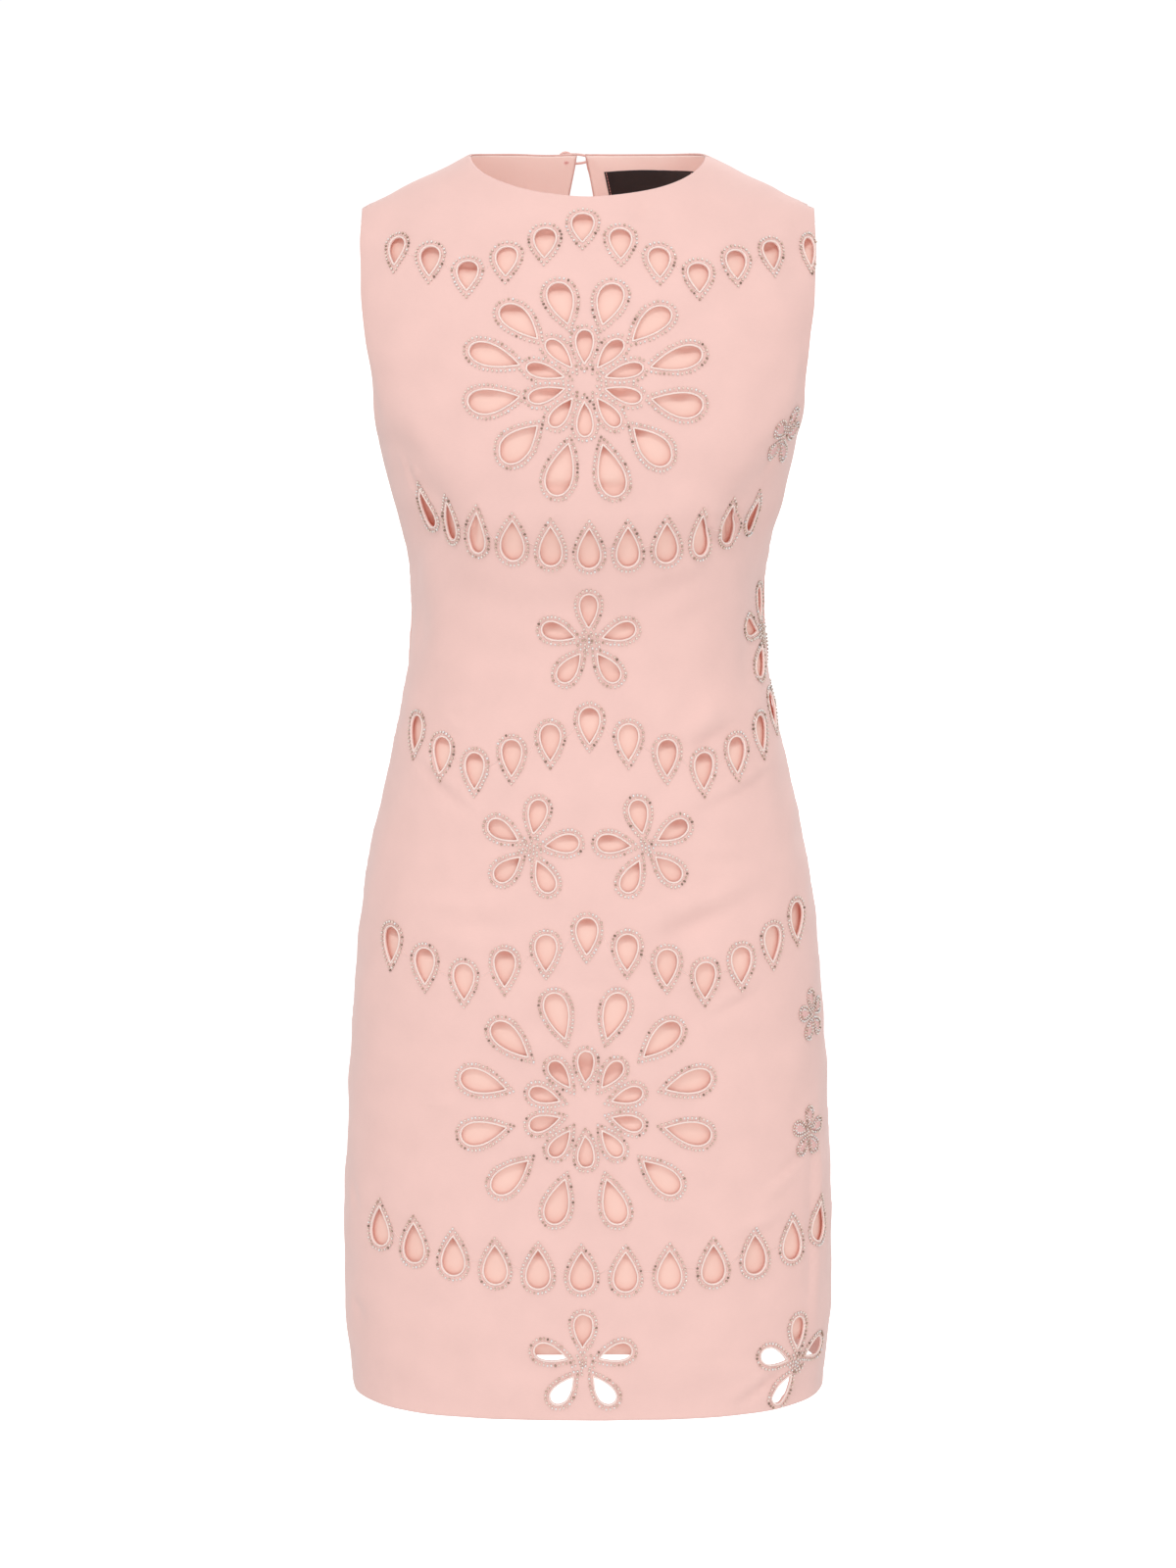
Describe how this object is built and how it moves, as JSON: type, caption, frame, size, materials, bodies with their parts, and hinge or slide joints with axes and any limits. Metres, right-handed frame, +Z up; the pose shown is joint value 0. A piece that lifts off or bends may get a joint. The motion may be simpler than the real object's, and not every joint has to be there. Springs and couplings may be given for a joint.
{
  "type": "sleeveless shift dress",
  "caption": "Short sleeveless shift dress with cutwork petals edged in cord and beads, lined, with a keyhole back, open and hollow as worn.",
  "frame": {"origin": "midway between the two side neck points, at the top of the shoulder seams, where the wearer's shoulders hold the dress", "axes": "+Z up along the dress, front facing -Y, +X towards the right of the front view"},
  "size_m": [0.3604, 0.2462, 0.9],
  "materials": {
    "outer_cloth": "matte pale pink cotton poplin",
    "lining_cloth": "smooth peach pink lining",
    "label_cloth": "black woven satin, bare",
    "loop_cord": "narrow rouleau of the outer cloth",
    "button_cover": "button covered in the outer cloth",
    "satin_cord": "pale pink satin stitched cord",
    "glass_beads": "small silver-lined glass beads"
  },
  "bodies": {
    "root": {"front": "outer_cloth", "back": "outer_cloth", "lining_front": "lining_cloth", "lining_back": "lining_cloth", "label": "label_cloth", "loop": "loop_cord", "button": "button_cover"}
  },
  "joints": []
}
